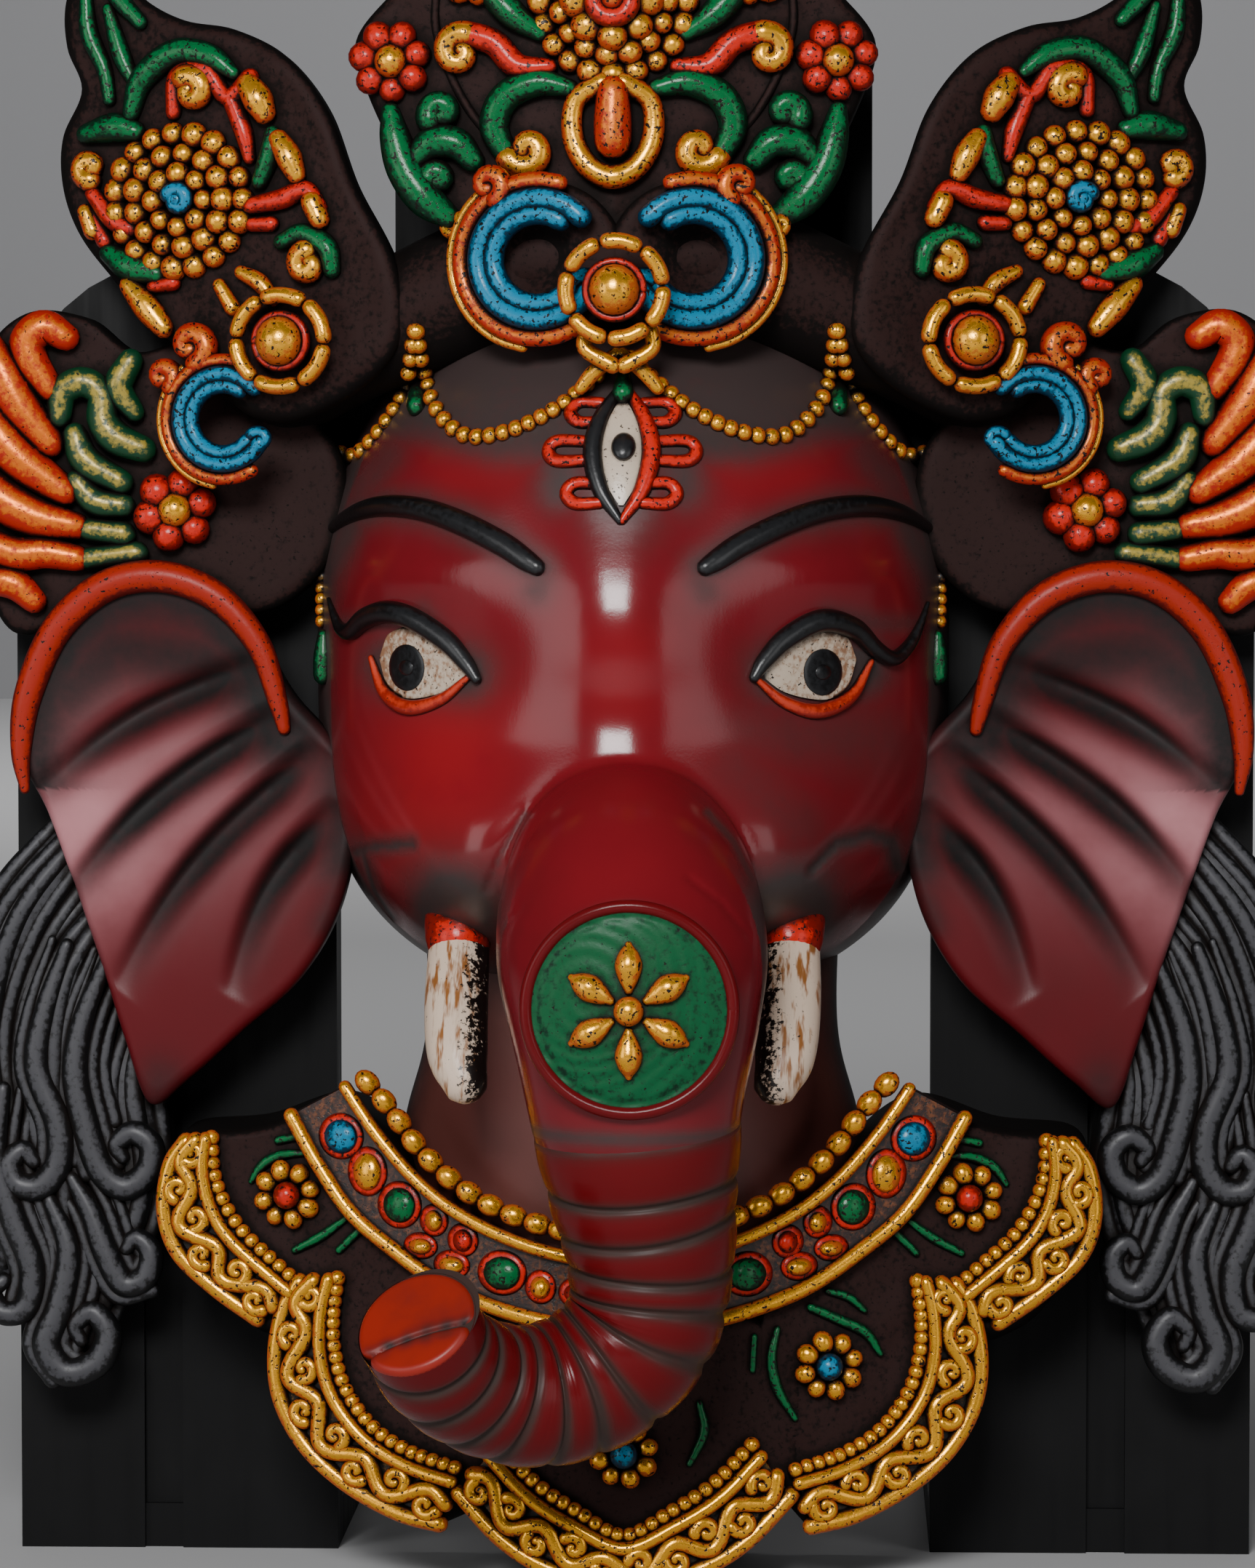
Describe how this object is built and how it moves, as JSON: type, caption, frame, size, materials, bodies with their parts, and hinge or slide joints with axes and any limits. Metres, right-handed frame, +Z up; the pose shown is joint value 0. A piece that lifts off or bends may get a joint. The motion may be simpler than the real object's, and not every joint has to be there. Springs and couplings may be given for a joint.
{
  "type": "ganesha mask",
  "caption": "Painted cast mask of an elephant-headed figure with crown, ears, curled trunk and lobed collar, on a black display stand.",
  "frame": {"origin": "on the table, under the middle of the object's bounding box", "axes": "+Z up, the face looks along -Y, +X to the viewer's right"},
  "size_m": [0.2472, 0.1976, 0.312],
  "materials": {
    "painted_resin": "cast resin painted deep red, gold, green, blue and black with dark antiquing, satin to gloss lacquer",
    "black_satin": "board painted satin black"
  },
  "bodies": {
    "root": {"ganesha_mask": "painted_resin", "display_stand": "black_satin"}
  },
  "joints": []
}
